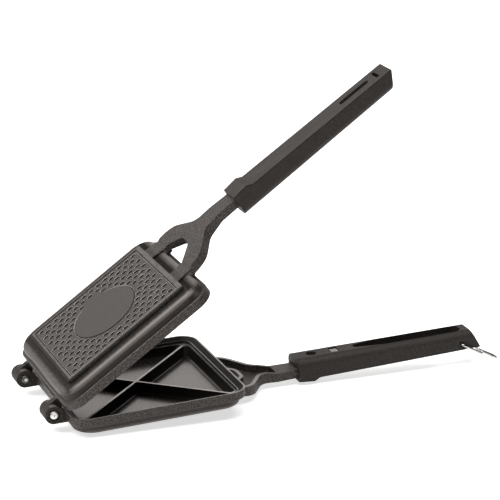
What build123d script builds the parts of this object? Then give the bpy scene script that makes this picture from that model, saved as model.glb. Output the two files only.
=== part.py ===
from build123d import *
from math import asin, atan2, cos, degrees, hypot, radians, sin, sqrt
import os

# Stovetop pie iron: two twin cast pans hinged along one side, each with a cast
# yoke that carries a long moulded handle, and a wire bail on the lower handle.
# The bail stands up between the closed handles and its nose springs into a
# slit of the upper handle.
#
# Sizes are millimetres. The lower half is drawn level, in the pan's own frame:
# X from the hinge to the handles, Y across, Z up, origin at the centre of the
# lower pan's base. The upper half is the same casting turned over. At the end
# the lid is opened, and the whole iron is tipped to stand as it does on a
# table: on the pan's heel and on the nose of the bail.

# --- pan casting ---
PAN_SIZE = 130.0          # square rim, outside
PAN_HEIGHT = 15.6         # base plane to the plane where the two pans meet
RIM_GAP = 0.3             # left open between the two rims when shut
RIM_HEIGHT = 6.8          # upright band of the rim
RIM_CORNER = 14.0         # corner radius of the rim in plan
RIM_EDGE = 1.2            # rounding of the band's outer edge
SHOULDER_INSET = 2.0      # ledge between the band and the shoulder
SHOULDER_LEAN = 1.5       # how far the shoulder leans in
SHOULDER_CORNER = 17.0    # corner radius in plan at its foot
SHOULDER_ROUND = 2.6      # rounding at the foot of the shoulder
BASE_SIZE = 104.0         # square base frame
BASE_HEIGHT = 2.7         # base frame beyond the shoulder
BASE_LEAN = 0.5
BASE_CORNER = 4.0
BASE_EDGE = 0.6
FRAME_BAR = 3.7           # raised bar round the base
PANEL_DEPTH = 0.9         # sunk panel inside that bar
PANEL_CORNER = 2.5
MEDALLION_LENGTH = 51.0   # blank oval in the middle, flush with the bar
MEDALLION_WIDTH = 57.0

# --- inside of the pan ---
RIM_LAND = 0.9            # narrow flat top of the rim
BEVEL_WIDTH = 4.0         # wide slope inside that land
BEVEL_DEPTH = 2.1
STEP_WIDTH = 0.7          # flat between the slope and the pinching ledge
LEDGE_DEPTH = 4.2         # pinching ledge and ridge tops, below the meeting plane
LEDGE_WIDTH = 1.5
POCKET_DEPTH = 11.1       # pocket floors, below the meeting plane
POCKET_LEAN = 2.1         # how far each pocket wall leans in
POCKET_CORNER = 3.2       # outer corners of each pocket
POCKET_APEX = 1.3         # corner at the crossing of the ridges
POCKET_FLOOR_APEX = 2.2
POCKET_FLOOR_ROUND = 1.8
RIDGE_TOP = 1.7           # width of the diagonal ridges at the top

# --- hinge ---
HINGE_REACH = 9.4         # rim to hinge axis
KNUCKLE_RADIUS = 6.5
KNUCKLE_INSET = 26.25     # side of the rim to the middle of each knuckle
EAR_THICKNESS = 5.0       # two ears per knuckle, on the lower pan
LUG_THICKNESS = 4.9       # one lug between them, on the upper pan
EAR_GAP = 0.3             # side play between ear and lug
KNUCKLE_ROOT_GAP = 0.4    # knuckle roots to the other pan's rim
KNUCKLE_ROOT = 3.0        # how far ears and lugs run into the rim
RIVET_RADIUS = 2.0
RIVET_FIT = 0.02          # rivet in the ears, on the radius
LUG_FIT = 0.08            # rivet in the turning lug, on the radius
RIVET_HEAD_RADIUS = 3.0
RIVET_HEAD = 1.7
RIVET_DOME = 1.2
RIVET_SEAT_RADIUS = 4.2   # sunk seat of the outer head
RIVET_SEAT = 0.9

# --- cast yoke and tang, measured out from the rim ---
YOKE_ROOT = 14.0          # the arms start this far under the shoulder
YOKE_ROOT_HALF = 38.6
YOKE_ELBOW_REACH = 13.0
YOKE_ELBOW_HALF = 33.6
YOKE_ELBOW_ROUND = 18.0
YOKE_THROAT_REACH = 28.0
YOKE_THROAT_HALF = 10.0
YOKE_THROAT_ROUND = 12.0
YOKE_THICKNESS = 6.5      # at the root and at the neck
YOKE_ROOT_RISE = 0.9      # outer face of the arms above the base plane
YOKE_START_DROP = 0.3     # outer face just off the rim
YOKE_START_BEND = 1.0
BELLY_REACH = 17.0        # the outer face bellies down as far as here
INNER_SLOPE_REACH = 32.0  # the inner face slopes gently as far as here
YOKE_SLOPE_DROP = 3.2     # both have come down by this much there
NECK_REACH = 41.0         # and on to the level neck
NECK_DROP = 5.5
YOKE_BEND = 8.0           # bend radius at both
NECK_HALF = 8.0           # half width at the handle
WINDOW_ROOT_HALF = 21.0   # window between the two arms
WINDOW_BEND_REACH = 1.0
WINDOW_BEND_HALF = 18.4
WINDOW_NOSE_REACH = 12.6
WINDOW_NOSE_HALF = 6.5
WINDOW_ROUND = 6.5
TROUGH_WALL = 2.8         # trough in the inner face of the yoke
TROUGH_WEB = 2.4
TROUGH_START = 2.0
WINDOW_WALL_DROP = 1.6    # the wall round the window stands lower than the outer one
TANG_LENGTH = 40.0        # inside the handle
TANG_HALF = 6.0
TANG_THICKNESS = 4.5

# --- moulded handle, measured out from its front face ---
HANDLE_REACH = 57.5       # rim to the handle's front face
TIP_RAKE = 7.6            # the tip leans back towards the other handle
HANDLE_FRONT_HALF = 11.4
HANDLE_TIP_HALF = 10.6
FRONT_GAP = 6.8           # meeting plane to inner face, at the front
TIP_GAP = 7.8
FRONT_DEPTH = 16.2        # inner face to outer face
TIP_DEPTH = 14.3
INNER_ROUND = 5.6         # long edges of the inner face
OUTER_ROUND = 0.9
END_ROUND = 0.7
GUARD_START_DROP = 0.9    # thumb guard beyond the outer face, at the front
GUARD_DROP = 2.3          # and at its crest
GUARD_CREST = 12.2        # front face to crest
GUARD_ROUND = 1.2
GUARD_FOOT = 4.5          # crest to the hollow behind it
GUARD_HOLLOW = 3.2        # radius of that hollow
SOCKET_GAP = 0.25         # round the neck and the tang
SOCKET_MOUTH = 4.0        # depth of the wide mouth that takes the neck
MOUTH_FLARE = 1.1         # flare round the mouth
MOUTH_FLARE_DEPTH = 1.6
SCREW_REACH = 14.0
SCREW_WELL_RADIUS = 4.0
SCREW_SEAT = 2.2          # web between the well's floor and the tang
SPY_REACH = 32.2          # square window over the tang
SPY_LENGTH = 6.5
SPY_WIDTH = 9.0
CHANNEL_START = 47.7      # long hollow in the inner face
CHANNEL_START_HALF = 2.6
CHANNEL_START_ROUND = 2.3
CHANNEL_SWELL = 69.5      # full width from here
CHANNEL_HALF = 6.4
CHANNEL_END_ROUND = 5.8
CHANNEL_WALL = 3.2        # wall left under the channel
SLOT_REACH = 117.3        # hanging slot through that wall
SLOT_LENGTH = 27.0
SLOT_WIDTH = 5.0
CATCH_LENGTH = 11.6
CATCH_WIDTH = 2.7
CATCH_WALL = 2.4          # outer wall at the slit
CATCH_WELL_HALF = 4.6     # well under the slit, across
CATCH_WELL_LENGTH = 7.4   # and along

# --- handle screw and washer ---
SCREW_RADIUS = 2.0
SCREW_FIT = 0.1
SCREW_SHANK_END = 1.6     # wall left under the screw's tip
SCREW_HEAD_RADIUS = 3.5
SCREW_HEAD = 2.3
SCREW_DOME = 1.4
WASHER_RADIUS = 3.8
WASHER_THICKNESS = 0.7
DRIVER_WIDTH = 1.0
DRIVER_DEPTH = 1.1

# --- wire bail ---
WIRE_RADIUS = 0.9
BAIL_REACH = 132.2        # pivot in the sides of the lower handle
TIP_PAST_BAIL = 15.9      # pivot to the outer edge of the handle's tip
CHANNEL_PAST_BAIL = 2.5   # pivot to the end of the long hollow
CATCH_PAST_BAIL = 5.5     # pivot to the upper handle's slit for the bail's nose
BAIL_HEIGHT = 4.9         # pivot above the outer face
BAIL_SIDE_GAP = 0.3       # wire clear of the handle's sides
BAIL_PIN = 3.0            # turned-in end inside the handle
BAIL_HOLE_FIT = 0.08
BAIL_LEG = 18.6           # straight legs
BAIL_SHOULDER = 23.0      # where the shoulders end, from the pivot
BAIL_NOSE_HALF = 2.6      # half width of the narrow nose
BAIL_LENGTH = 38.2        # pivot to nose
BAIL_BEND = 1.8
BAIL_NOSE_BEND = 2.3
BAIL_GROOVE_DEPTH = 1.4   # slanted hollow in the sides behind the legs
BAIL_GROOVE_WIDTH = 5.0
BAIL_REST = 30.5          # degrees below level, where the hollows in the sides hold it

# --- pose ---
LID_OPEN = 32.5           # degrees

# --- how cutting and joining bodies overrun ---
OVERRUN = 1.0             # cutting bodies stand proud of the faces they cut
LAP = 0.2                 # bodies joined into one run into each other
NEAR = 0.01               # two points this close are the same corner

RIM_X = PAN_SIZE / 2
RIM_TOP = PAN_HEIGHT - RIM_GAP / 2
BAND_BOTTOM = PAN_HEIGHT - RIM_HEIGHT
HINGE = (-RIM_X - HINGE_REACH, PAN_HEIGHT)
KNUCKLE_MIDDLE = RIM_X - KNUCKLE_INSET

YOKE_ROOT_X = RIM_X - YOKE_ROOT
YOKE_ELBOW = (RIM_X + YOKE_ELBOW_REACH, YOKE_ELBOW_HALF)
YOKE_THROAT = (RIM_X + YOKE_THROAT_REACH, YOKE_THROAT_HALF)
NECK_X = RIM_X + NECK_REACH
NECK_TOP = YOKE_THICKNESS - NECK_DROP
WINDOW_BEND = (RIM_X + WINDOW_BEND_REACH, WINDOW_BEND_HALF)
WINDOW_NOSE = (RIM_X + WINDOW_NOSE_REACH, WINDOW_NOSE_HALF)

HANDLE_X = RIM_X + HANDLE_REACH
HANDLE_LENGTH = BAIL_REACH + TIP_PAST_BAIL
HANDLE_TIP_X = HANDLE_X + HANDLE_LENGTH
NECK_END_X = HANDLE_X + SOCKET_MOUTH
TANG_BOTTOM = -NECK_DROP + (YOKE_THICKNESS - TANG_THICKNESS) / 2
TANG_TOP = TANG_BOTTOM + TANG_THICKNESS
TANG_END_X = HANDLE_X + TANG_LENGTH
WELL_FLOOR = TANG_TOP + SOCKET_GAP + SCREW_SEAT
SCREW_X = HANDLE_X + SCREW_REACH
SPY_X = HANDLE_X + SPY_REACH
CHANNEL_X = HANDLE_X + CHANNEL_START
CHANNEL_SWELL_X = HANDLE_X + CHANNEL_SWELL
CHANNEL_END_X = HANDLE_X + BAIL_REACH + CHANNEL_PAST_BAIL
SLOT_X = HANDLE_X + SLOT_REACH
CATCH_X = HANDLE_X + BAIL_REACH + CATCH_PAST_BAIL
BAIL_X = HANDLE_X + BAIL_REACH


# ---------------------------------------------------------------- helpers


def rounded_square(size, corner, z):
    return Pos(0, 0, z) * RectangleRounded(size, size, corner)


def drafted(size_low, corner_low, z_low, size_high, corner_high, z_high):
    low = rounded_square(size_low, corner_low, z_low)
    high = rounded_square(size_high, corner_high, z_high)
    return loft([low.face(), high.face()])


def side_slab(profile, y_middle, thickness):
    """An XZ profile made thick along Y."""
    return Pos(0, y_middle, 0) * extrude(Plane.XZ * profile, thickness / 2, both=True)


def plan_prism(outline, z_low, z_high):
    middle = Pos(0, 0, (z_low + z_high) / 2)
    return extrude(middle * outline, (z_high - z_low) / 2, both=True)


def block(x_low, x_high, half_width, z_low, z_high):
    centre = Pos((x_low + x_high) / 2, 0, (z_low + z_high) / 2)
    return centre * Box(x_high - x_low, 2 * half_width, z_high - z_low)


def pin_along_y(x, z, radius, y_from, y_to):
    return Pos(x, (y_from + y_to) / 2, z) * Rot(90, 0, 0) * Cylinder(radius, abs(y_to - y_from))


def pin_along_z(x, radius, z_low, z_high):
    return Pos(x, 0, (z_low + z_high) / 2) * Cylinder(radius, z_high - z_low)


def mirrored_outline(points):
    """Closed plan outline from its +Y half, which runs from the pan to the handle."""
    return Polygon(*points, *[(x, -y) for x, y in reversed(points)], align=None)


def round_at(sketch, points, radius):
    """Round the corners at these points and at their twins across the middle."""
    wanted = [(x, side * y) for x, y in points for side in (-1, 1)]
    corners = [
        corner for corner in sketch.vertices()
        if any(hypot(corner.X - x, corner.Y - y) < NEAR for x, y in wanted)
    ]
    return fillet(corners, radius)


# ---------------------------------------------------------------- pan


def pan_body():
    """Outside of the casting: rim band, rounded shoulder, raised base frame."""
    band = plan_prism(RectangleRounded(PAN_SIZE, PAN_SIZE, RIM_CORNER), BAND_BOTTOM, RIM_TOP)
    band = fillet(band.edges().group_by(Axis.Z)[0], RIM_EDGE)

    wide = PAN_SIZE - 2 * SHOULDER_INSET
    shoulder = drafted(
        wide - 2 * SHOULDER_LEAN, SHOULDER_CORNER, BASE_HEIGHT,
        wide, RIM_CORNER - SHOULDER_INSET, BAND_BOTTOM + RIM_EDGE,
    )
    shoulder = fillet(shoulder.edges().group_by(Axis.Z)[0], SHOULDER_ROUND)

    base = drafted(
        BASE_SIZE, BASE_CORNER, 0,
        BASE_SIZE + 2 * BASE_LEAN, BASE_CORNER + BASE_LEAN, BASE_HEIGHT + OVERRUN,
    )
    base = fillet(base.edges().group_by(Axis.Z)[0], BASE_EDGE)
    panel = extrude(rounded_square(BASE_SIZE - 2 * FRAME_BAR, PANEL_CORNER, 0), PANEL_DEPTH)
    medallion = extrude(Ellipse(MEDALLION_LENGTH / 2, MEDALLION_WIDTH / 2), PANEL_DEPTH)
    return band + shoulder + (base - panel) + medallion


def pocket_outline(triangle, apex_round):
    triangle = fillet(triangle.vertices().sort_by(Axis.X)[0], apex_round)
    return fillet(triangle.vertices().sort_by(Axis.X)[-2:], POCKET_CORNER)


def pocket():
    """One of the four triangular pockets between the diagonal ridges."""
    reach = RIM_X - RIM_LAND - BEVEL_WIDTH - STEP_WIDTH - LEDGE_WIDTH
    apex = RIDGE_TOP / sqrt(2)
    triangle = Polygon((apex, 0), (reach, apex - reach), (reach, reach - apex), align=None)
    leant = offset(triangle, -POCKET_LEAN, kind=Kind.INTERSECTION)
    floor = pocket_outline(leant, POCKET_FLOOR_APEX)
    mouth = pocket_outline(triangle, POCKET_APEX)
    hollow = loft([
        (Pos(0, 0, PAN_HEIGHT - POCKET_DEPTH) * floor).face(),
        (Pos(0, 0, PAN_HEIGHT - LEDGE_DEPTH) * mouth).face(),
    ])
    return fillet(hollow.edges().group_by(Axis.Z)[0], POCKET_FLOOR_ROUND)


def pan_inside():
    """What is taken out of the casting: a slope and a step in the rim, four pockets."""
    mouth = PAN_SIZE - 2 * RIM_LAND
    foot = mouth - 2 * BEVEL_WIDTH
    foot_corner = RIM_CORNER - RIM_LAND - BEVEL_WIDTH
    slope = drafted(
        foot, foot_corner, PAN_HEIGHT - BEVEL_DEPTH,
        mouth, RIM_CORNER - RIM_LAND, PAN_HEIGHT,
    )
    ledge = rounded_square(
        foot - 2 * STEP_WIDTH, foot_corner - STEP_WIDTH, PAN_HEIGHT - LEDGE_DEPTH
    )
    wedge = pocket()
    quarters = [Rot(0, 0, 90 * turn) * wedge for turn in range(4)]
    return [slope, extrude(ledge, LEDGE_DEPTH)] + quarters


# ---------------------------------------------------------------- hinge


def knuckle_profile():
    """Hinge eye and its root, which runs level into the rim of its own pan."""
    x, z = HINGE
    root_x = -RIM_X - KNUCKLE_ROOT_GAP
    inner_x = -RIM_X + KNUCKLE_ROOT
    eye = CenterArc((x, z), KNUCKLE_RADIUS, 0, 360)
    root = Line((root_x, RIM_TOP), (root_x, z - KNUCKLE_RADIUS))
    foot = Polygon(
        (root_x, z - KNUCKLE_RADIUS), (inner_x, z - KNUCKLE_RADIUS),
        (inner_x, RIM_TOP), (root_x, RIM_TOP), align=None,
    )
    return make_hull([eye, root]) + foot


def ear_middles(side):
    """Middle planes of the two ears of one knuckle, the outer one first."""
    reach = LUG_THICKNESS / 2 + EAR_GAP + EAR_THICKNESS / 2
    return [side * (KNUCKLE_MIDDLE + reach), side * (KNUCKLE_MIDDLE - reach)]


def hinge_ears():
    """Two ears per knuckle, with a sunk seat in the outer one for the rivet head."""
    x, z = HINGE
    ears = []
    for side in (-1, 1):
        outer, inner = ear_middles(side)
        face = outer + side * EAR_THICKNESS / 2
        bore = pin_along_y(x, z, RIVET_RADIUS + RIVET_FIT, face, inner - side * EAR_THICKNESS)
        seat = pin_along_y(
            x, z, RIVET_SEAT_RADIUS, face - side * RIVET_SEAT, face + side * OVERRUN
        )
        for middle in (outer, inner):
            ears.append(side_slab(knuckle_profile(), middle, EAR_THICKNESS) - bore - seat)
    return ears


def hinge_lugs():
    x, z = HINGE
    lugs = []
    for side in (-1, 1):
        middle = side * KNUCKLE_MIDDLE
        lug = side_slab(knuckle_profile(), middle, LUG_THICKNESS)
        bore = pin_along_y(x, z, RIVET_RADIUS + LUG_FIT, middle - LUG_THICKNESS, middle + LUG_THICKNESS)
        lugs.append(lug - bore)
    return lugs


def hinge_rivet(side):
    """Shank through both ears, a domed head in the seat, a formed head inside."""
    x, z = HINGE
    outer, inner = ear_middles(side)
    seat = outer + side * (EAR_THICKNESS / 2 - RIVET_SEAT)
    formed = inner - side * EAR_THICKNESS / 2
    shank = pin_along_y(x, z, RIVET_RADIUS, seat + side * LAP, formed - side * LAP)
    heads = []
    for start, way in ((seat, side), (formed, -side)):
        head = pin_along_y(x, z, RIVET_HEAD_RADIUS, start, start + way * RIVET_HEAD)
        rim = head.edges().filter_by(GeomType.CIRCLE).sort_by(Axis.Y)[-1 if way > 0 else 0]
        heads.append(fillet(rim, RIVET_DOME))
    return shank + heads


# ---------------------------------------------------------------- yoke


def yoke_outline():
    outline = mirrored_outline([
        (YOKE_ROOT_X, YOKE_ROOT_HALF), YOKE_ELBOW, YOKE_THROAT, (NECK_END_X, NECK_HALF),
    ])
    outline = round_at(outline, [YOKE_ELBOW], YOKE_ELBOW_ROUND)
    return round_at(outline, [YOKE_THROAT], YOKE_THROAT_ROUND)


def yoke_window():
    window = mirrored_outline([
        (YOKE_ROOT_X - TROUGH_WALL, WINDOW_ROOT_HALF), WINDOW_BEND, WINDOW_NOSE,
    ])
    return round_at(window, [WINDOW_BEND, WINDOW_NOSE], WINDOW_ROUND)


def yoke_line(slope_reach, lift):
    """Side view of one face of the yoke, from its root down to the level neck."""
    points = [
        (YOKE_ROOT_X, YOKE_ROOT_RISE + lift),
        (RIM_X - YOKE_START_BEND, YOKE_ROOT_RISE + lift),
        (RIM_X + YOKE_START_BEND, -YOKE_START_DROP + lift),
        (RIM_X + slope_reach, -YOKE_SLOPE_DROP + lift),
        (NECK_X, -NECK_DROP + lift),
        (NECK_END_X, -NECK_DROP + lift),
    ]
    start = YOKE_START_BEND
    return FilletPolyline(*points, radius=[start, start, YOKE_BEND, YOKE_BEND])


def yoke_side(bottom, top):
    """Area of the side view between two such lines, as a slab over the whole width."""
    ends = [Line(bottom @ 0, top @ 0), Line(bottom @ 1, top @ 1)]
    return side_slab(make_face([bottom, top, *ends]), 0, 4 * YOKE_ROOT_HALF)


def yoke():
    """Two arms that join in a neck, with a walled trough in their inner face."""
    outline = yoke_outline()
    window = yoke_window()
    arms = yoke_side(yoke_line(BELLY_REACH, 0), yoke_line(INNER_SLOPE_REACH, YOKE_THICKNESS))
    arms &= plan_prism(outline - window, -2 * NECK_DROP, PAN_HEIGHT)
    reach = Pos((RIM_X + TROUGH_START + NECK_X) / 2, 0) * Rectangle(
        NECK_X - RIM_X - TROUGH_START, 2 * YOKE_ROOT_HALF
    )
    inside = offset(outline, -TROUGH_WALL) & reach
    above = yoke_line(BELLY_REACH, PAN_HEIGHT)
    floor = yoke_line(BELLY_REACH, TROUGH_WEB)
    wall_top = yoke_line(INNER_SLOPE_REACH, YOKE_THICKNESS - WINDOW_WALL_DROP)
    for bottom, area in ((floor, inside - offset(window, TROUGH_WALL)), (wall_top, inside)):
        arms -= yoke_side(bottom, above) & plan_prism(area, -2 * NECK_DROP, PAN_HEIGHT)
    return arms


def tang():
    bar = block(NECK_END_X - LAP, TANG_END_X, TANG_HALF, TANG_BOTTOM, TANG_TOP)
    hole = pin_along_z(
        SCREW_X, SCREW_RADIUS + SCREW_FIT, TANG_BOTTOM - OVERRUN, TANG_TOP + OVERRUN
    )
    return bar - hole


def pan(knuckle_parts):
    casting = pan_body() + yoke() + tang()
    for knuckle in knuckle_parts:
        casting += knuckle
    for hollow in pan_inside():
        casting -= hollow
    return casting


# ---------------------------------------------------------------- handle


def along_handle(x, at_front, at_tip):
    share = (x - HANDLE_X) / HANDLE_LENGTH
    return at_front + (at_tip - at_front) * share


def inner_face_z(x):
    return PAN_HEIGHT - along_handle(x, FRONT_GAP, TIP_GAP)


def outer_face_z(x):
    return PAN_HEIGHT - along_handle(x, FRONT_GAP + FRONT_DEPTH, TIP_GAP + TIP_DEPTH)


def handle_half(x):
    return along_handle(x, HANDLE_FRONT_HALF, HANDLE_TIP_HALF)


def guard_crest():
    x = HANDLE_X + GUARD_CREST
    return x, outer_face_z(x) - GUARD_DROP


def handle_side():
    """Side view: level faces, raked tip, thumb guard with a hollow behind it."""
    crest_x, crest_z = guard_crest()
    inner_tip_x = HANDLE_TIP_X - TIP_RAKE
    hollow_x = crest_x + GUARD_FOOT
    points = [
        (HANDLE_X, outer_face_z(HANDLE_X) - GUARD_START_DROP),
        (crest_x, crest_z),
        (hollow_x, outer_face_z(hollow_x)),
        (HANDLE_TIP_X, outer_face_z(HANDLE_TIP_X)),
        (inner_tip_x, inner_face_z(inner_tip_x)),
        (HANDLE_X, inner_face_z(HANDLE_X)),
    ]
    side = Polygon(*points, align=None)
    crest = [c for c in side.vertices() if abs(c.X - crest_x) < NEAR]
    side = fillet(crest, GUARD_ROUND)
    hollow = [c for c in side.vertices() if abs(c.X - hollow_x) < NEAR]
    return fillet(hollow, GUARD_HOLLOW)


def handle_blank():
    front, tip = HANDLE_X - OVERRUN, HANDLE_TIP_X + OVERRUN
    plan = mirrored_outline([(front, handle_half(front)), (tip, handle_half(tip))])
    bar = side_slab(handle_side(), 0, 4 * HANDLE_FRONT_HALF)
    bar &= plan_prism(plan, -2 * PAN_HEIGHT, PAN_HEIGHT)
    long_edges = bar.edges().filter_by(lambda edge: edge.length > HANDLE_LENGTH * 0.8)
    bar = fillet(long_edges.sort_by(Axis.Z)[-2:], INNER_ROUND)
    outer = bar.faces().filter_by(lambda face: face.normal_at().Z < -0.5)
    outer_edges = ShapeList(
        edge for face in outer for edge in face.edges()
        if abs(edge.center().Y) > HANDLE_TIP_HALF / 2
    )
    bar = fillet(outer_edges, OUTER_ROUND)
    end = bar.faces().sort_by(Axis.X)[-1]
    return fillet(end.edges(), END_ROUND)


def handle_socket():
    """Hollow for the neck and the tang, flared at the front face."""
    gap = SOCKET_GAP
    mouth = block(
        HANDLE_X - OVERRUN, NECK_END_X + gap, NECK_HALF + gap,
        -NECK_DROP - gap, NECK_TOP + gap,
    )
    flare = block(
        HANDLE_X - OVERRUN, HANDLE_X + MOUTH_FLARE_DEPTH, NECK_HALF + MOUTH_FLARE,
        -NECK_DROP - MOUTH_FLARE, NECK_TOP + MOUTH_FLARE,
    )
    flare = fillet(flare.edges().filter_by(Axis.X), MOUTH_FLARE)
    seat = block(
        HANDLE_X, TANG_END_X + gap, TANG_HALF + gap, TANG_BOTTOM - gap, TANG_TOP + gap
    )
    return mouth + flare + seat


def screw_well():
    well = pin_along_z(SCREW_X, SCREW_WELL_RADIUS, WELL_FLOOR, PAN_HEIGHT)
    shank_end = outer_face_z(SCREW_X) + SCREW_SHANK_END
    return well + pin_along_z(SCREW_X, SCREW_RADIUS + SCREW_FIT, shank_end, PAN_HEIGHT)


def spy_window():
    return block(
        SPY_X - SPY_LENGTH / 2, SPY_X + SPY_LENGTH / 2, SPY_WIDTH / 2, TANG_TOP, PAN_HEIGHT
    )


def channel():
    """Long hollow from the inner face: pointed at the front, round at the tip."""
    outline = mirrored_outline([
        (CHANNEL_X, CHANNEL_START_HALF), (CHANNEL_SWELL_X, CHANNEL_HALF),
        (CHANNEL_END_X, CHANNEL_HALF),
    ])
    outline = round_at(outline, [(CHANNEL_END_X, CHANNEL_HALF)], CHANNEL_END_ROUND)
    outline = round_at(outline, [(CHANNEL_X, CHANNEL_START_HALF)], CHANNEL_START_ROUND)
    floor = outer_face_z(SLOT_X) + CHANNEL_WALL
    return plan_prism(outline, floor, PAN_HEIGHT)


def hanging_slot():
    slot = Pos(SLOT_X, 0) * SlotOverall(SLOT_LENGTH, SLOT_WIDTH)
    return plan_prism(slot, outer_face_z(SLOT_X) - PAN_HEIGHT, PAN_HEIGHT)


def catch_slit():
    """Slit for the bail's nose, with a well below it that opens to the inner face."""
    slit = Pos(CATCH_X, 0) * SlotOverall(CATCH_LENGTH, CATCH_WIDTH, rotation=90)
    well_end = CATCH_X + CATCH_WIDTH / 2
    well = Pos(well_end - CATCH_WELL_LENGTH / 2, 0) * RectangleRounded(
        CATCH_WELL_LENGTH, 2 * CATCH_WELL_HALF, CATCH_WIDTH / 2
    )
    through = plan_prism(slit, outer_face_z(CATCH_X) - OVERRUN, PAN_HEIGHT)
    return plan_prism(well, outer_face_z(CATCH_X) + CATCH_WALL, PAN_HEIGHT) + through


def bail_pivot():
    return BAIL_X, outer_face_z(BAIL_X) + BAIL_HEIGHT


def bail_leg_y():
    return handle_half(BAIL_X) + BAIL_SIDE_GAP + WIRE_RADIUS


def bail_seat(side):
    """Hole for one turned-in end, and the slanted hollow in the handle's side."""
    x, z = bail_pivot()
    face = handle_half(BAIL_X)
    hole = pin_along_y(
        x, z, WIRE_RADIUS + BAIL_HOLE_FIT,
        side * (face + OVERRUN), side * (face - BAIL_PIN - LAP),
    )
    half = BAIL_GROOVE_WIDTH / 2
    groove = Pos(BAIL_LEG / 2, 0) * SlotOverall(BAIL_LEG + BAIL_GROOVE_WIDTH, BAIL_GROOVE_WIDTH)
    groove = Pos(x, z) * Rot(0, 0, -BAIL_REST) * groove
    floor = face - BAIL_GROOVE_DEPTH
    hollow = side_slab(groove, side * (floor + half), 2 * half)
    return hole + hollow


def handle():
    bar = handle_blank()
    for hollow in (handle_socket(), screw_well(), spy_window(), channel(), hanging_slot()):
        bar -= hollow
    return bar


# ---------------------------------------------------------------- screw, washer


def handle_screw():
    washer_top = WELL_FLOOR + WASHER_THICKNESS
    head_top = washer_top + SCREW_HEAD
    tip = outer_face_z(SCREW_X) + SCREW_SHANK_END + SCREW_FIT
    head = pin_along_z(SCREW_X, SCREW_HEAD_RADIUS, washer_top, head_top)
    head = fillet(head.edges().group_by(Axis.Z)[-1], SCREW_DOME)
    slot = block(
        SCREW_X - DRIVER_WIDTH / 2, SCREW_X + DRIVER_WIDTH / 2, SCREW_HEAD_RADIUS,
        head_top - DRIVER_DEPTH, head_top + OVERRUN,
    )
    return head - slot + pin_along_z(SCREW_X, SCREW_RADIUS, tip, washer_top + LAP)


def screw_washer():
    ring = pin_along_z(SCREW_X, WASHER_RADIUS, WELL_FLOOR, WELL_FLOOR + WASHER_THICKNESS)
    hole = pin_along_z(SCREW_X, SCREW_RADIUS + SCREW_FIT, WELL_FLOOR - OVERRUN, PAN_HEIGHT)
    return ring - hole


# ---------------------------------------------------------------- bail


def bail_nose():
    x, z = bail_pivot()
    rest = radians(BAIL_REST)
    return x + BAIL_LENGTH * cos(rest), z - BAIL_LENGTH * sin(rest)


def stand_tilt():
    """Slope of the table line under the rounded heel and the bail's nose."""
    heel_x, heel_z = BASE_EDGE - BASE_SIZE / 2, BASE_EDGE
    nose_x, nose_z = bail_nose()
    reach = hypot(nose_x - heel_x, nose_z - heel_z)
    return atan2(heel_z - nose_z, nose_x - heel_x) + asin((WIRE_RADIUS - BASE_EDGE) / reach)


def bail():
    """One bent wire: turned-in ends, straight legs, sloping shoulders, narrow nose."""
    leg = bail_leg_y()
    end = handle_half(BAIL_X) - BAIL_PIN
    half = [(0, end), (0, leg), (BAIL_LEG, leg), (BAIL_SHOULDER, BAIL_NOSE_HALF),
            (BAIL_LENGTH, BAIL_NOSE_HALF)]
    points = half + [(along, -across) for along, across in reversed(half)]
    bends = [BAIL_BEND] * 3 + [BAIL_NOSE_BEND] * 2 + [BAIL_BEND] * 3
    path = FilletPolyline(*points, radius=bends)
    start = Plane(origin=path @ 0, z_dir=path % 0)
    wire = sweep(start * Circle(WIRE_RADIUS), path=path)
    x, z = bail_pivot()
    return Pos(x, 0, z) * Rot(0, BAIL_REST, 0) * wire


# ---------------------------------------------------------------- assembly


def turned_over(shape):
    """The twin of a lower piece, on the upper half of the closed iron."""
    return Pos(0, 0, 2 * PAN_HEIGHT) * Rot(180, 0, 0) * shape


def opened(shape):
    x, z = HINGE
    return Pos(x, 0, z) * Rot(0, -LID_OPEN, 0) * Pos(-x, 0, -z) * shape


def standing(shape):
    return Rot(0, -degrees(stand_tilt()), 0) * shape


def lower_half():
    grip = handle()
    for side in (-1, 1):
        grip -= bail_seat(side)
    return {
        "lower_pan": pan(hinge_ears()),
        "hinge_rivet_near": hinge_rivet(-1),
        "hinge_rivet_far": hinge_rivet(1),
        "lower_handle": grip,
        "lower_handle_screw": handle_screw(),
        "lower_screw_washer": screw_washer(),
        "bail": bail(),
    }


def upper_half():
    return {
        "upper_pan": pan(hinge_lugs()),
        "upper_handle": handle() - catch_slit(),
        "upper_handle_screw": handle_screw(),
        "upper_screw_washer": screw_washer(),
    }


def main():
    os.makedirs("parts", exist_ok=True)
    pieces = {name: standing(shape) for name, shape in lower_half().items()}
    for name, shape in upper_half().items():
        pieces[name] = standing(opened(turned_over(shape)))
    for name, shape in pieces.items():
        export_step(shape, f"parts/{name}.step")


main()
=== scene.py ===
from math import radians

import bmesh
import bpy
from mathutils import Matrix, Vector


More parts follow.
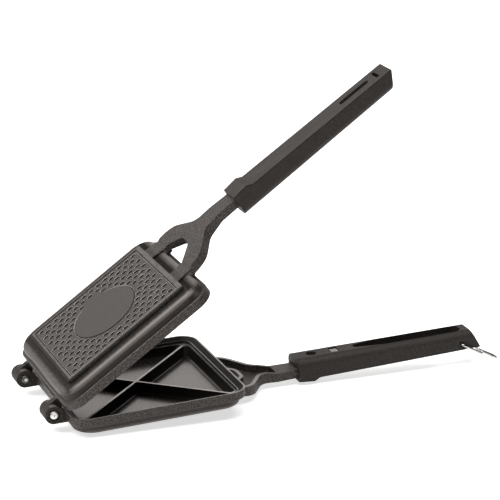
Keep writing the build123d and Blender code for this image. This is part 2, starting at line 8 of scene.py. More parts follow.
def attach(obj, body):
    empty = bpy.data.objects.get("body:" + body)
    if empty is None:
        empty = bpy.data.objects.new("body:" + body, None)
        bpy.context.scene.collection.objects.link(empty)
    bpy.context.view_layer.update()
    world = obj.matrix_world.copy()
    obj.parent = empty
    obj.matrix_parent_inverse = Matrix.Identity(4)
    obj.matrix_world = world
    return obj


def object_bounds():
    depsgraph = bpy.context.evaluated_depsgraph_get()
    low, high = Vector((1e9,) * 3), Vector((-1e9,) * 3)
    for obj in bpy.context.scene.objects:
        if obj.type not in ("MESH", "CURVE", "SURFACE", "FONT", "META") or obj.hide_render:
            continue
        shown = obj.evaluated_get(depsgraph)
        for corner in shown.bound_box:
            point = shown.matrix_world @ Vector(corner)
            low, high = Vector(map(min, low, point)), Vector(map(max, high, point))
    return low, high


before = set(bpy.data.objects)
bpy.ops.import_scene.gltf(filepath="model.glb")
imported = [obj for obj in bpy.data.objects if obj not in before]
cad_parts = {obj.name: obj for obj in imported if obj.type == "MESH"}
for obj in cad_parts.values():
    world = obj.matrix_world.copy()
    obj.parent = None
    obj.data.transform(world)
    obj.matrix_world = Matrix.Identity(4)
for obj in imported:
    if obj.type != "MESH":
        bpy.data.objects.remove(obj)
cad_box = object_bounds()

# Stovetop pie iron, standing half open on a pale floor. Sizes of the iron are
# millimetres until MM turns them into metres, and the studio is in metres.
#
# Each half has its own frame, in which its pan is drawn level: X from the
# hinge to the handle, Y across, Z from the outer face towards the other pan,
# origin in the middle of the base. The finishes and the dimpled base plates
# are laid out in those frames.

MM = 0.001

# --- pose of the two halves ---
PAN_HEIGHT = 15.6        # base to the plane where the two pans meet
HINGE_X = -74.4
HINGE_Z = PAN_HEIGHT
STAND_TILT = 3.7104      # degrees, on the heel and the bail's nose
LID_OPEN = 32.5          # degrees

# --- base panel of a pan ---
PANEL_SIDE = 96.6
PANEL_DEPTH = 0.9
PANEL_CORNER = 2.5
OVAL_LENGTH = 51.0
OVAL_WIDTH = 57.0

# --- dimpled plate in that panel ---
PLATE_GAP = 0.75         # plate to the panel's sides
PLATE_SINK = 0.05        # the plate runs into the panel's floor
PLATE_RISE = 0.55
PLATE_EDGE = 0.09        # rounding of its upper edges
OVAL_GROOVE = 0.65       # groove round the blank oval
OVAL_STEPS = 96
CORNER_STEPS = 6         # in each corner of the plate
DIMPLE_LENGTH = 4.5
DIMPLE_WIDTH = 2.95
DIMPLE_END = 0.46        # corner radius, as a share of the width
DIMPLE_STEPS = 3         # straight steps in each of those corners
DIMPLE_PITCH_ALONG = 6.7
DIMPLE_PITCH_ACROSS = 6.15
DIMPLE_MARGIN = 1.1      # bare strip to the border and the oval
DIMPLES_ALONG = 19       # places in a row, enough to pass the plate's sides
DIMPLE_ROWS = 21
PLATE_SIZES = {
    "Side": PANEL_SIDE - 2 * PLATE_GAP,
    "Corner": PANEL_CORNER,
    "Oval Length": OVAL_LENGTH + 2 * OVAL_GROOVE,
    "Oval Width": OVAL_WIDTH + 2 * OVAL_GROOVE,
    "Dimple Length": DIMPLE_LENGTH,
    "Dimple Width": DIMPLE_WIDTH,
    "Pitch Along": DIMPLE_PITCH_ALONG,
    "Pitch Across": DIMPLE_PITCH_ACROSS,
    "Margin": DIMPLE_MARGIN,
    "Thickness": PLATE_RISE + PLATE_SINK,
}

# --- handle: screw, square window and bare tang ---
SCREW_X = 136.5
SPY_X = 154.7            # middle of the square window over the tang
SPY_HALF_LENGTH = 3.6
SPY_HALF_WIDTH = 4.8
SPY_FOOT = 0.5           # its bright lining, from just over the tang
SPY_BRIM = 7.3           # to just under the handle's inner face
BARE_TANG = (124.5, 125.0)       # the coat ends here, inside the handle

# --- where the coat of a pan changes; a pair is from and to ---
INSIDE_HALF = 64.3       # slope, ledge, ridges and pockets lie within this square
INSIDE_Z = (2.0, 4.0)    # just under the pocket floors
TROUGH_FADE = (82.0, 99.0)       # the trough loses its gloss towards the neck
PANEL_HALF = PANEL_SIDE / 2 + 0.35
PANEL_END_Z = 1.2
PANEL_SUNK_Z = (0.46, 0.56)      # deeper than the top of the dimpled plate
RIDGE_HALF = (1.1, 1.6)  # off the diagonal
RIDGE_Z = (11.1, 11.3)
RIDGE_END_Z = 12.0
LEDGE_Z = 11.4
LEDGE_NEAR = (0.05, 0.15)        # over or under the ledge
LAND_Z = (15.3, 15.42)   # flat top of the rim
SHOULDER_HALF = 63.5     # the shoulder runs from the base frame out to the rim's band
SHOULDER_END_Z = 9.0
FRAME_SHADE_Z = (0.7, 1.2)
FRAME_SHADE_OUT = (54.5, 59.0)
SHOULDER_HIGHLIGHT_X = (-60.0, -54.0)       # the painted highlight is weaker by the hinge
SHOULDER_HIGHLIGHT_SHARE = (0.35, 1.0)
SHOULDER_HIGHLIGHT_Z = (2.4, 2.6)
SHOULDER_HIGHLIGHT_END_Z = (4.2, 6.0)
SHOULDER_HIGHLIGHT_OUT = (57.5, 60.0)
FLANK_Z = (4.6, 6.2)
BAR_Z = 0.7              # raised bar round the base panel
BAR_INSIDE = 48.0
BAR_OUTSIDE = 52.6
BAR_SHADE_OUT = (49.5, 50.4)
YOKE_FACE_X = 53.0
YOKE_EDGE_X = 64.0
KNUCKLE_X = (-66.5, -65.5)

# --- how squarely a surface faces the other pan: cosine, from and to ---
INWARD = (0.0, 0.04)
LEANING = (0.88, 0.97)
LEVEL_FLOOR = (0.92, 0.99)
LEVEL_TOP = (0.90, 0.99)
HIGHLIGHT_SIDE = (0.10, 0.45)
HIGHLIGHT_FACE = (0.80, 0.98)
OUTER_FACE = (-0.97, -0.90)
OUTER_EDGE_FACE = (-0.93, -0.75)
OUTER_EDGE_SIDE = (-0.45, -0.15)

# --- heads of rivets and screws, from their axis ---
RING_PITCH = 0.35
RIVET_DIMPLE = (0.5, 0.9)
RIVET_BRIGHT_CENTRE = (0.9, 1.4)

# --- colours ---
WHITE = (1.0, 1.0, 1.0)
COAT_DARK = (0.0140, 0.0119, 0.0105)
COAT_LIGHT = (0.0210, 0.0181, 0.0162)
COAT_GRAIN = (0.078, 0.069, 0.063)
COAT_SHOULDER_HIGHLIGHT = (0.120, 0.108, 0.100)
COAT_FLANK_SHADE = (0.007, 0.0061, 0.0054)
COAT_SCUFFED = (0.160, 0.146, 0.137)
COAT_STEEP_SHADE = (0.006, 0.0052, 0.0046)
COAT_SHEEN = (1.0, 0.91, 0.85)
# matt near-black for painted shade and for darker parts
DARKENING_BLACK = (0.010, 0.0088, 0.0078)
BARE_ALUMINIUM_AND_GLINT = (0.78, 0.765, 0.74)
PHENOLIC_DARK = (0.0090, 0.0077, 0.0069)
PHENOLIC_LIGHT = (0.0150, 0.0130, 0.0117)
PHENOLIC_HIGHLIGHT = (0.062, 0.054, 0.049)
PHENOLIC_EDGE = (0.006, 0.0053, 0.0048)
PHENOLIC_SHEEN = (1.0, 0.92, 0.87)
FILLER_FLECK = (0.055, 0.048, 0.044)
SPY_LINING = (0.72, 0.71, 0.69)
STEEL_BRIGHT = (0.80, 0.785, 0.76)
STEEL_STAINED = (0.62, 0.605, 0.58)
STEEL_SHADE_AND_DIMPLE = (0.012, 0.0108, 0.010)
WIRE_BRIGHT = (0.62, 0.61, 0.59)
WIRE_STAINED = (0.40, 0.39, 0.375)

# --- studio ---
FLOOR_REACH = 30.0
FLOOR_PAINT = (0.86, 0.86, 0.86)
FLOOR_GLOW = (0.66, 1.0)         # near the iron, where its shadow falls, and far from it
FLOOR_GLOW_REACH = (0.45, 1.20)
FLOOR_MIRRORED = 0.6             # share of that glow which shiny pieces mirror
AIR_TINT = (1.0, 0.955, 0.925)
AIR_GLOW = (0.05, 1.0)           # in the room, and on the backdrop behind the iron
BACKDROP_START = (0.30, 0.82)
LAMP_AIM = (0.05, 0.0, 0.05)

# --- camera ---
EYE = (-0.49212, -1.56398, 0.61478)
EYE_TURN = -20.3         # degrees, from straight ahead
EYE_DIP = 17.074         # degrees, below level
EYE_ROLL = 0.607         # degrees
LENS = 172.8
SENSOR = 36.0


# ------------------------------------------------------------ node graphs


class Value:
    """A socket of a node graph. Arithmetic on it adds the Math nodes."""

    def __init__(self, graph, socket):
        self.graph = graph
        self.socket = socket

    def _math(self, operation, *values):
        return self.graph.node("ShaderNodeMath", {"operation": operation}, dict(enumerate(values)))

    def __add__(self, other):
        return self._math("ADD", self, other)

    def __radd__(self, other):
        return self._math("ADD", other, self)

    def __sub__(self, other):
        return self._math("SUBTRACT", self, other)

    def __rsub__(self, other):
        return self._math("SUBTRACT", other, self)

    def __mul__(self, other):
        return self._math("MULTIPLY", self, other)

    def __rmul__(self, other):
        return self._math("MULTIPLY", other, self)

    def __truediv__(self, other):
        return self._math("DIVIDE", self, other)

    def __rtruediv__(self, other):
        return self._math("DIVIDE", other, self)

    def __lt__(self, other):
        return self._math("LESS_THAN", self, other)

    def __gt__(self, other):
        return self._math("GREATER_THAN", self, other)

    def __abs__(self):
        return self._math("ABSOLUTE", self)

    def wrapped(self, span):
        return self._math("FLOORED_MODULO", self, span)

    def root(self):
        return self._math("SQRT", self)

    def larger(self, other):
        return self._math("MAXIMUM", self, other)

    def ramp(self, low, high, out_low=0.0, out_high=1.0):
        """A smooth step from one level to another."""
        settings = {"interpolation_type": "SMOOTHSTEP"}
        levels = dict(enumerate((self, low, high, out_low, out_high)))
        return self.graph.node("ShaderNodeMapRange", settings, levels)

    def fall(self, low, high):
        """A smooth step down from one to nothing."""
        return self.ramp(low, high, 1.0, 0.0)

    def beside(self, name):
        """Another output of the same node."""
        return Value(self.graph, self.socket.node.outputs[name])


class Graph:
    """The node tree of a finish, of the studio or of a repeated pattern."""

    def __init__(self, tree):
        self.tree = tree

    def node(self, kind, settings=None, sockets=None, out=0):
        """Adds one node: its settings first, then the values or links of its sockets."""
        made = self.tree.nodes.new(kind)
        for name, value in (settings or {}).items():
            setattr(made, name, value)
        for name, value in (sockets or {}).items():
            self.feed(made.inputs[name], value)
        return Value(self, made.outputs[out])

    def feed(self, socket, value):
        """Links a value, or each of a list of them, or sets a plain one. Colours come without alpha."""
        if isinstance(value, Value):
            self.tree.links.new(value.socket, socket)
        elif isinstance(value, list):
            for part in value:
                self.feed(socket, part)
        elif socket.type == "RGBA":
            socket.default_value = (*value, 1.0)
        else:
            socket.default_value = value

    def blend(self, share, first, second):
        """A colour between two colours."""
        return self.node("ShaderNodeMix", {"data_type": "RGBA"}, {0: share, 6: first, 7: second}, out=2)


class Finish(Graph):
    """A material laid out in the frame of one half of the iron, in millimetres."""

    def __init__(self, name, half):
        self.material = bpy.data.materials.new(name)
        self.material.use_nodes = True
        super().__init__(self.material.node_tree)
        self.shader = self.tree.nodes["Principled BSDF"]
        self.half = half
        to_half = half.inverted()
        self.place = self.node("ShaderNodeMapping", {"vector_type": "POINT"}, {
            "Vector": self.node("ShaderNodeTexCoord", out="Object"),
            "Location": to_half.to_translation() / MM,
            "Rotation": to_half.to_euler(),
            "Scale": (1 / MM, 1 / MM, 1 / MM),
        })
        axes = self.node("ShaderNodeSeparateXYZ", None, {0: self.place})
        self.x, self.y, self.z = (axes.beside(axis) for axis in "XYZ")

    def facing(self):
        """How squarely the surface faces the other half, from -1 to 1."""
        normal = self.node("ShaderNodeTexCoord", out="Normal")
        inward = self.half.col[2].to_3d()
        return self.node("ShaderNodeVectorMath", {"operation": "DOT_PRODUCT"}, {0: normal, 1: inward},
                         out="Value")

    def stretched(self, along, across, upright):
        """The same place, with each axis multiplied."""
        return self.node("ShaderNodeVectorMath", {"operation": "MULTIPLY"},
                         {0: self.place, 1: (along, across, upright)})

    def noise(self, size, detail=2.0, roughness=0.5, where=None):
        """Noise whose features are about that many millimetres across."""
        return self.node("ShaderNodeTexNoise", {"noise_dimensions": "3D"}, {
            "Vector": where or self.place, "Scale": 1 / size, "Detail": detail, "Roughness": roughness})

    def surface(self, colour, roughness, metallic=0.0, specular=0.5, sheen=WHITE):
        """Feeds the shader. Its highlights take the colour of the sheen."""
        self.feed(self.shader.inputs["Base Color"], colour)
        self.feed(self.shader.inputs["Roughness"], roughness)
        self.feed(self.shader.inputs["Metallic"], metallic)
        self.feed(self.shader.inputs["Specular IOR Level"], specular)
        self.feed(self.shader.inputs["Specular Tint"], sheen)
        return self.material

    def varnish(self, share, roughness):
        """A clear glossy coat over part of the surface."""
        self.feed(self.shader.inputs["Coat Weight"], share)
        self.feed(self.shader.inputs["Coat Roughness"], roughness)

    def darken(self, share, colour):
        """A matt dark layer over part of the surface, for painted shade and for darker parts."""
        matt = self.node("ShaderNodeBsdfPrincipled", None, {
            "Base Color": colour, "Roughness": 0.9, "Specular IOR Level": 0.1})
        both = self.node("ShaderNodeMixShader", None, {
            0: share, 1: Value(self, self.shader.outputs[0]), 2: matt})
        self.feed(self.tree.nodes["Material Output"].inputs["Surface"], both)

    def relief(self, height, depth):
        """Surface relief of that many millimetres."""
        self.feed(self.shader.inputs["Normal"], self.node("ShaderNodeBump", None, {
            "Height": height, "Strength": 1.0, "Distance": depth * MM}))


# ------------------------------------------------------------ the two halves


def lower_half():
    return Matrix.Rotation(radians(-STAND_TILT), 4, "Y")


def upper_half():
    hinge = Matrix.Translation(Vector((HINGE_X, 0, HINGE_Z)) * MM)
    lift = hinge @ Matrix.Rotation(radians(-LID_OPEN), 4, "Y") @ hinge.inverted()
    over = Matrix.Translation((0, 0, 2 * PAN_HEIGHT * MM)) @ Matrix.Rotation(radians(180), 4, "X")
    return lower_half() @ lift @ over


LOWER = lower_half()
UPPER = upper_half()


# ------------------------------------------------------------ finishes


def outer_edge(facing):
    """The rounded edges between the outer face and the sides."""
    return facing.fall(*OUTER_EDGE_SIDE) * facing.ramp(*OUTER_EDGE_FACE)


def casting_coat(name, half):
    """Dark release coat on cast aluminium: grainy outside, smooth and glossy in the pockets."""
    coat = Finish(name, half)
    facing = coat.facing()
    from_middle = abs(coat.x).larger(abs(coat.y))
    grain = coat.noise(1.1, 1.0, 0.5)
    fine = coat.noise(0.5, 2.0, 0.6)
    cloud = coat.noise(16.0, 3.0, 0.55)

    # the pan and the yoke's trough have smooth level floors, and the pan's leaning walls are painted dark as
    # shade
    inside = (from_middle < INSIDE_HALF) * coat.z.ramp(*INSIDE_Z) * facing.ramp(*INWARD)
    trough = (coat.x > INSIDE_HALF) * coat.x.fall(*TROUGH_FADE) * (coat.z > 0.0)
    flat = (inside + trough).ramp(0.0, 1.0) * facing.ramp(*LEVEL_FLOOR)
    steep_shade = inside * facing.fall(*LEANING)

    # painted highlights: the rim's land, the ridge tops and the pinching ledge are painted as bright bare
    # aluminium, standing in for glints on their edges
    ridge = abs(abs(coat.x) - abs(coat.y)).fall(*RIDGE_HALF)
    ridge = ridge * coat.z.ramp(*RIDGE_Z) * (coat.z < RIDGE_END_Z)
    ledge = abs(coat.z - LEDGE_Z).fall(*LEDGE_NEAR) * facing.ramp(*LEVEL_TOP)
    land = coat.z.ramp(*LAND_Z) * facing.ramp(*LEVEL_TOP)
    painted_glints = (inside * (ridge + ledge) + land) * cloud.ramp(0.3, 0.65, 0.10, 0.24)
    # inside the handle the tang was masked, and is bare metal
    bare_and_glints = painted_glints + coat.x.ramp(*BARE_TANG)

    # painted shade round the base frame; further out on the shoulder a painted highlight, and painted shade
    # higher up its side
    outside = (1.0 - inside) * (coat.z < SHOULDER_END_Z) * (from_middle < SHOULDER_HALF)
    frame_shade = outside * coat.z.ramp(*FRAME_SHADE_Z) * from_middle.fall(*FRAME_SHADE_OUT)
    shoulder_highlight = outside * coat.z.ramp(*SHOULDER_HIGHLIGHT_Z) * coat.z.fall(*SHOULDER_HIGHLIGHT_END_Z)
    shoulder_highlight = shoulder_highlight * from_middle.ramp(*SHOULDER_HIGHLIGHT_OUT) * coat.x.ramp(*SHOULDER_HIGHLIGHT_X, *SHOULDER_HIGHLIGHT_SHARE)
    flank_shade = outside * coat.z.ramp(*FLANK_Z)

    # the panel's floor is painted dark as shade in the dimples, and the bar round it is scuffed by the stove
    panel = (from_middle < PANEL_HALF) * (coat.z < PANEL_END_Z)
    dimple_shade = panel * coat.z.ramp(*PANEL_SUNK_Z)
    bar = (coat.z < BAR_Z) * (from_middle > BAR_INSIDE) * (from_middle < BAR_OUTSIDE)
    scuffed = bar * coat.noise(3.0, 3.0, 0.6, coat.stretched(1.0, 0.3, 1.0)).ramp(0.3, 0.6)
    # that bar takes painted shade too, except at the yoke
    yoke_end = coat.x > abs(coat.y)
    frame_shade = (frame_shade + bar * from_middle.ramp(*BAR_SHADE_OUT) * (1.0 - yoke_end)).ramp(0.0, 1.0)

    # knuckles and yoke are darker than the pan
    knuckle = coat.x.fall(*KNUCKLE_X)
    yoke_edge = outer_edge(facing) * (coat.x > YOKE_EDGE_X)
    yoke_face = (coat.x > YOKE_FACE_X) * facing.fall(*OUTER_FACE) * (1.0 - bar)

    grainy = (1.0 - inside) * (1.0 - flat) * (1.0 - panel * 0.75)
    grainy = grainy * (1.0 - flank_shade * 0.7) * (1.0 - shoulder_highlight * 0.5)
    # painted light in the colour: lighter on the shoulder's highlight, darker on the flank and leaning
    # walls, bright metal for glints
    base = coat.blend(cloud, COAT_DARK, COAT_LIGHT)
    base = coat.blend(grain.ramp(0.42, 0.64) * grainy, base, COAT_GRAIN)
    base = coat.blend(shoulder_highlight, base, COAT_SHOULDER_HIGHLIGHT)
    base = coat.blend(flank_shade * 0.7, base, COAT_FLANK_SHADE)
    base = coat.blend(scuffed * 0.35, base, COAT_SCUFFED)
    base = coat.blend(steep_shade * 0.85, base, COAT_STEEP_SHADE)
    base = coat.blend(bare_and_glints, base, BARE_ALUMINIUM_AND_GLINT)
    rough = fine.ramp(0.3, 0.7, 0.36, 0.46) - flat * 0.16 - shoulder_highlight * 0.06 + grainy * 0.10
    coat.relief(grain * grainy + fine * (0.25 - inside * 0.2), 0.26)
    coat.varnish(flat * 0.75, 0.16)
    # painted shade in the dimples, on the leaning walls and round the base frame; the knuckles and the
    # yoke's edges and face are only made darker
    darkened = dimple_shade + steep_shade * 0.75 + frame_shade * 0.8 + knuckle * 0.55 + yoke_edge * 0.75 + yoke_face * 0.22
    coat.darken(darkened, DARKENING_BLACK)
    return coat.surface(base, rough, bare_and_glints, specular=0.45, sheen=COAT_SHEEN)


def handle_moulding(name, half):
    """Black phenolic: matt spark-eroded skin with a fine filler fleck, rubbed lengthways."""
    skin = Finish(name, half)
    facing = skin.facing()
    grain = skin.noise(0.8, 2.5, 0.6)
    fleck = skin.noise(0.7, 1.5, 0.55)
    cloud = skin.noise(20.0, 2.0)
    rub = skin.noise(2.2, 3.0, 0.6, skin.stretched(0.12, 1.0, 1.0))
    # painted highlight: the round between side and inner face is painted lighter where light catches it
    rounding_highlight = facing.ramp(*HIGHLIGHT_SIDE) * facing.fall(*HIGHLIGHT_FACE)
    # the walls of the square window are lined with bright sheet
    window = (abs(skin.x - SPY_X) < SPY_HALF_LENGTH) * (abs(skin.y) < SPY_HALF_WIDTH)
    window = window * (skin.z > SPY_FOOT) * (skin.z < SPY_BRIM)
    base = skin.blend(cloud, PHENOLIC_DARK, PHENOLIC_LIGHT)
    base = skin.blend(fleck.ramp(0.48, 0.68) * 0.6, base, FILLER_FLECK)
    base = skin.blend(rounding_highlight * 0.30, base, PHENOLIC_HIGHLIGHT)
    base = skin.blend(window, base, SPY_LINING)
    rough = rub.ramp(0.3, 0.7, 0.50, 0.62)
    skin.relief(grain + rub * 0.4, 0.13)
    skin.darken(outer_edge(facing) * 0.75, PHENOLIC_EDGE)
    return skin.surface(base, rough, specular=0.35, sheen=PHENOLIC_SHEEN)


def turned_steel(name, half, centre_x, centre_z=None, painted=False):
    """Bright steel with rings left by the tool that formed the head.

    The rings go round an upright axis, or round a cross axis where centre_z is given. A cross
    rivet has a dark dimple in the middle, or, on the far one, painted shade all round its middle.
    """
    steel = Finish(name, half)
    side = steel.x - centre_x
    other = steel.y if centre_z is None else steel.z - centre_z
    radius = (side * side + other * other).root()
    ring = (radius / RING_PITCH).wrapped(1.0).ramp(0.0, 1.0)
    stain = steel.noise(1.8, 3.0)
    base = steel.blend(stain.ramp(0.35, 0.7), STEEL_BRIGHT, STEEL_STAINED)
    rough = stain.ramp(0.3, 0.7, 0.34, 0.46) + ring * 0.04
    steel.relief(ring + steel.noise(0.4), 0.015)
    if painted:
        # painted shade round the far rivet's middle, leaving a bright centre
        steel.darken(radius.ramp(*RIVET_BRIGHT_CENTRE) * 0.85, STEEL_SHADE_AND_DIMPLE)
    elif centre_z is not None:
        steel.darken(radius.fall(*RIVET_DIMPLE) * 0.55, STEEL_SHADE_AND_DIMPLE)
    return steel.surface(base, rough, metallic=1.0)


def drawn_wire(name, half):
    """Bright drawn spring wire with fine lines along it."""
    wire = Finish(name, half)
    line = wire.noise(0.25, 2.0, 0.6, wire.stretched(0.08, 1.0, 1.0))
    stain = wire.noise(5.0, 3.0)
    base = wire.blend(stain.ramp(0.35, 0.7), WIRE_BRIGHT, WIRE_STAINED)
    wire.relief(line, 0.01)
    return wire.surface(base, line.ramp(0.3, 0.7, 0.16, 0.30), metallic=1.0)


# ------------------------------------------------------------ dimpled base plates


def rounded_outline(plate, along, across, corner, steps):
    """A rectangle with round corners."""
    outline = plate.node("GeometryNodeCurvePrimitiveQuadrilateral", None, {"Width": along, "Height": across})
    return plate.node("GeometryNodeFilletCurve", {"mode": "POLY"}, {
        "Curve": outline, "Count": steps, "Radius": corner})


def oval_outline(plate, along, across):
    """An ellipse of that length and width."""
    circle = plate.node("GeometryNodeCurvePrimitiveCircle", None, {"Resolution": OVAL_STEPS, "Radius": 0.5})
    stretch = plate.node("ShaderNodeCombineXYZ", None, {0: along, 1: across, 2: 1.0})
    return plate.node("GeometryNodeTransform", None, {"Geometry": circle, "Scale": stretch})


def point_place(plate):
    """How far a point lies along and across the plate."""
    along = plate.node("ShaderNodeSeparateXYZ", None, {0: plate.node("GeometryNodeInputPosition")})
    return along, along.beside("Y")


def dimple_points(plate, size):
    """Rows of points, every other row half a pitch along, without those on the border and the oval."""
    grid = plate.node("GeometryNodeMeshGrid", None, {
        "Size X": size["Pitch Along"] * (DIMPLES_ALONG - 1),
        "Size Y": size["Pitch Across"] * (DIMPLE_ROWS - 1),
        "Vertices X": DIMPLES_ALONG, "Vertices Y": DIMPLE_ROWS,
    })
    across = point_place(plate)[1]
    odd = (across / size["Pitch Across"] + 0.5).wrapped(2.0) > 1.0
    slide = plate.node("ShaderNodeCombineXYZ", None, {0: odd * size["Pitch Along"] * 0.5})
    rows = plate.node("GeometryNodeSetPosition", None, {"Geometry": grid, "Offset": slide})

    along, across = (abs(way) for way in point_place(plate))
    on_border = (along > (size["Side"] - size["Dimple Length"]) * 0.5 - size["Margin"]) + (
        across > (size["Side"] - size["Dimple Width"]) * 0.5 - size["Margin"])
    along = along / ((size["Oval Length"] + size["Dimple Length"]) * 0.5 + size["Margin"] * 0.3)
    across = across / ((size["Oval Width"] + size["Dimple Width"]) * 0.5 + size["Margin"] * 0.6)
    on_oval = along * along + across * across < 1.0
    return plate.node("GeometryNodeDeleteGeometry", {"domain": "POINT"}, {
        "Geometry": rows, "Selection": on_border + on_oval > 0.5})


def dimple_tree():
    """Plate with dimples and an oval opening cut through it."""
    tree = bpy.data.node_groups.new("dimpled_plate", "GeometryNodeTree")
    for name in PLATE_SIZES:
        tree.interface.new_socket(name, in_out="INPUT", socket_type="NodeSocketFloat")
    tree.interface.new_socket("Material", in_out="INPUT", socket_type="NodeSocketMaterial")
    tree.interface.new_socket("Geometry", in_out="OUTPUT", socket_type="NodeSocketGeometry")
    plate = Graph(tree)
    given = plate.node("NodeGroupInput")
    size = {name: given.beside(name) for name in PLATE_SIZES}

    border = rounded_outline(plate, size["Side"], size["Side"], size["Corner"], CORNER_STEPS)
    oval = oval_outline(plate, size["Oval Length"], size["Oval Width"])
    dimple = rounded_outline(plate, size["Dimple Length"], size["Dimple Width"],
                             size["Dimple Width"] * DIMPLE_END, DIMPLE_STEPS)
    dimples = plate.node("GeometryNodeInstanceOnPoints", None, {
        "Points": dimple_points(plate, size), "Instance": dimple})
    dimples = plate.node("GeometryNodeRealizeInstances", None, {"Geometry": dimples})
    lines = plate.node("GeometryNodeJoinGeometry", None, {0: [border, oval, dimples]})
    sheet = plate.node("GeometryNodeFillCurve", None, {"Curve": lines})
    raised = plate.node("GeometryNodeExtrudeMesh", {"mode": "FACES"}, {
        "Mesh": sheet, "Offset Scale": size["Thickness"], "Individual": False})
    under = plate.node("GeometryNodeFlipFaces", None, {"Mesh": sheet})
    both = plate.node("GeometryNodeJoinGeometry", None, {0: [raised, under]})
    closed = plate.node("GeometryNodeMergeByDistance", None, {"Geometry": both, "Distance": 0.001})
    solid = plate.node("GeometryNodeRealizeInstances", None, {"Geometry": closed})
    painted = plate.node("GeometryNodeSetMaterial", None, {
        "Geometry": solid, "Material": given.beside("Material")})
    plate.feed(tree.nodes.new("NodeGroupOutput").inputs["Geometry"], painted)
    return tree


def soften_top(mesh, top):
    """Rounds the upper edges of the border, the oval and the dimples."""
    same_place = 0.0005
    level = 0.01
    sharp_angle = 1.0    # radians
    work = bmesh.new()
    work.from_mesh(mesh)
    bmesh.ops.remove_doubles(work, verts=work.verts, dist=same_place)
    bmesh.ops.recalc_face_normals(work, faces=work.faces)
    sharp = [
        edge for edge in work.edges
        if all(abs(end.co.z - top) < level for end in edge.verts)
        and len(edge.link_faces) == 2 and edge.calc_face_angle() > sharp_angle
    ]
    bmesh.ops.bevel(work, geom=sharp, offset=PLATE_EDGE, segments=2, profile=0.5,
                    affect="EDGES", clamp_overlap=True)
    work.to_mesh(mesh)
    work.free()


def dimpled_plate(name, body, half, finish, tree):
    """The patterned plate of one pan's base, as a mesh of its own."""
    maker = bpy.data.objects.new(name + "_maker", bpy.data.meshes.new(name + "_maker"))
    bpy.context.scene.collection.objects.link(maker)
    pattern = maker.modifiers.new("plate", "NODES")
    pattern.node_group = tree
    identifiers = {item.name: item.identifier for item in tree.interface.items_tree
                   if item.in_out == "INPUT"}
    for label, value in PLATE_SIZES.items():
        pattern[identifiers[label]] = value
    pattern[identifiers["Material"]] = finish
    bpy.context.view_layer.update()
    evaluated = maker.evaluated_get(bpy.context.evaluated_depsgraph_get())
    mesh = bpy.data.meshes.new_from_object(evaluated)
    maker.modifiers.remove(pattern)
    bpy.data.objects.remove(maker)

    soften_top(mesh, PLATE_RISE + PLATE_SINK)
    outward = Matrix.Translation((0, 0, (PANEL_DEPTH + PLATE_SINK) * MM))
    outward = outward @ Matrix.Rotation(radians(180), 4, "X") @ Matrix.Scale(MM, 4)
    mesh.transform(half @ outward)
    plate = bpy.data.objects.new(name, mesh)
    bpy.context.scene.collection.objects.link(plate)
    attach(plate, body)


# ------------------------------------------------------------ dressing


def dress():
    """Gives every piece of the iron its finish, and both pans their dimpled plate."""
    lower_coat = casting_coat("lower_casting_coat", LOWER)
    upper_coat = casting_coat("upper_casting_coat", UPPER)
    finishes = {
        "lower_pan": lower_coat,
        "upper_pan": upper_coat,
        "lower_handle": handle_moulding("lower_handle_moulding", LOWER),
        "upper_handle": handle_moulding("upper_handle_moulding", UPPER),
        "hinge_rivet_near": turned_steel("rivet_steel", LOWER, HINGE_X, HINGE_Z),
        "hinge_rivet_far": turned_steel("shaded_rivet_steel", LOWER, HINGE_X, HINGE_Z, painted=True),
        "lower_handle_screw": turned_steel("lower_screw_steel", LOWER, SCREW_X),
        "upper_handle_screw": turned_steel("upper_screw_steel", UPPER, SCREW_X),
        "lower_screw_washer": turned_steel("lower_washer_steel", LOWER, SCREW_X),
        "upper_screw_washer": turned_steel("upper_washer_steel", UPPER, SCREW_X),
        "bail": drawn_wire("bail_wire", LOWER),
    }
    for node, finish in finishes.items():
        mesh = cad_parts[node].data
        mesh.materials.clear()
        mesh.materials.append(finish)
    tree = dimple_tree()
    dimpled_plate("lower_base_plate", "lower", LOWER, lower_coat, tree)
    dimpled_plate("upper_base_plate", "lid", UPPER, upper_coat, tree)


# ------------------------------------------------------------ stage


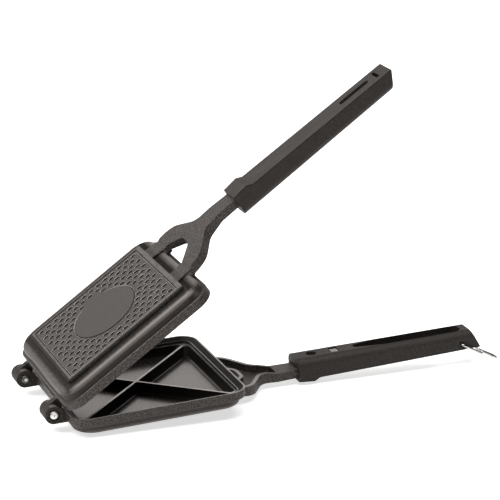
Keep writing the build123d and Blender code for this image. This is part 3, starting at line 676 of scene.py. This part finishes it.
def floor(level):
    """Pale floor that takes the iron's shadow and turns evenly white away from it."""
    mesh = bpy.data.meshes.new("floor")
    corners = ((-1, -1), (1, -1), (1, 1), (-1, 1))
    mesh.from_pydata([(x * FLOOR_REACH, y * FLOOR_REACH, level) for x, y in corners], [], [(0, 1, 2, 3)])
    ground = bpy.data.objects.new("floor", mesh)
    bpy.context.scene.collection.objects.link(ground)
    material = bpy.data.materials.new("pale_floor")
    material.use_nodes = True
    paint = Graph(material.node_tree)
    shader = material.node_tree.nodes["Principled BSDF"]
    ray = paint.node("ShaderNodeLightPath", out="Is Camera Ray")
    mirrored = ray.beside("Is Glossy Ray") + ray.beside("Is Transmission Ray")
    away = paint.node("ShaderNodeVectorMath", {"operation": "LENGTH"}, {
        0: paint.node("ShaderNodeTexCoord", out="Object")}, out="Value")
    glow = (ray + mirrored * FLOOR_MIRRORED) * away.ramp(*FLOOR_GLOW_REACH, *FLOOR_GLOW)
    paint.feed(shader.inputs["Base Color"], FLOOR_PAINT)
    paint.feed(shader.inputs["Roughness"], 0.55)
    paint.feed(shader.inputs["Specular IOR Level"], 0.25)
    paint.feed(shader.inputs["Emission Color"], glow)
    paint.feed(shader.inputs["Emission Strength"], 1.0)
    mesh.materials.append(material)


def studio_air():
    """White to the camera, and for all else a low backdrop behind the iron and a dim room."""
    world = bpy.data.worlds.new("studio")
    bpy.context.scene.world = world
    world.use_nodes = True
    air = Graph(world.node_tree)
    camera_ray = air.node("ShaderNodeLightPath", out="Is Camera Ray")
    sky = air.node("ShaderNodeSeparateXYZ", None, {0: air.node("ShaderNodeTexCoord", out="Generated")})
    behind = sky.beside("Y").ramp(*BACKDROP_START, *AIR_GLOW)
    background = world.node_tree.nodes["Background"]
    air.feed(background.inputs["Color"], air.blend(camera_ray, AIR_TINT, WHITE))
    air.feed(background.inputs["Strength"], camera_ray + (1.0 - camera_ray) * behind)


def softbox(name, place, width, height, power):
    """A soft rectangular lamp that shines on the iron."""
    lamp = bpy.data.lights.new(name, "AREA")
    lamp.shape = "RECTANGLE"
    lamp.size, lamp.size_y = width, height
    lamp.energy = power
    box = bpy.data.objects.new(name, lamp)
    bpy.context.scene.collection.objects.link(box)
    box.location = place
    box.rotation_euler = (Vector(LAMP_AIM) - Vector(place)).to_track_quat("-Z", "Y").to_euler()


def camera():
    lens = bpy.data.cameras.new("camera")
    lens.sensor_width = SENSOR
    lens.lens = LENS
    lens.clip_end = 100.0
    eye = bpy.data.objects.new("camera", lens)
    bpy.context.scene.collection.objects.link(eye)
    turn = Matrix.Rotation(radians(EYE_TURN), 4, "Z") @ Matrix.Rotation(radians(90 - EYE_DIP), 4, "X")
    turn = turn @ Matrix.Rotation(radians(EYE_ROLL), 4, "Z")
    eye.matrix_world = Matrix.Translation(EYE) @ turn
    bpy.context.scene.camera = eye


dress()
floor(cad_box[0][2])
studio_air()
softbox("overhead", place=(-0.95, 0.25, 1.45), width=1.5, height=1.1, power=30.0)
softbox("front", place=(0.00, -0.62, 1.50), width=1.3, height=0.45, power=17.0)
camera()
bpy.context.scene.view_settings.view_transform = "Standard"
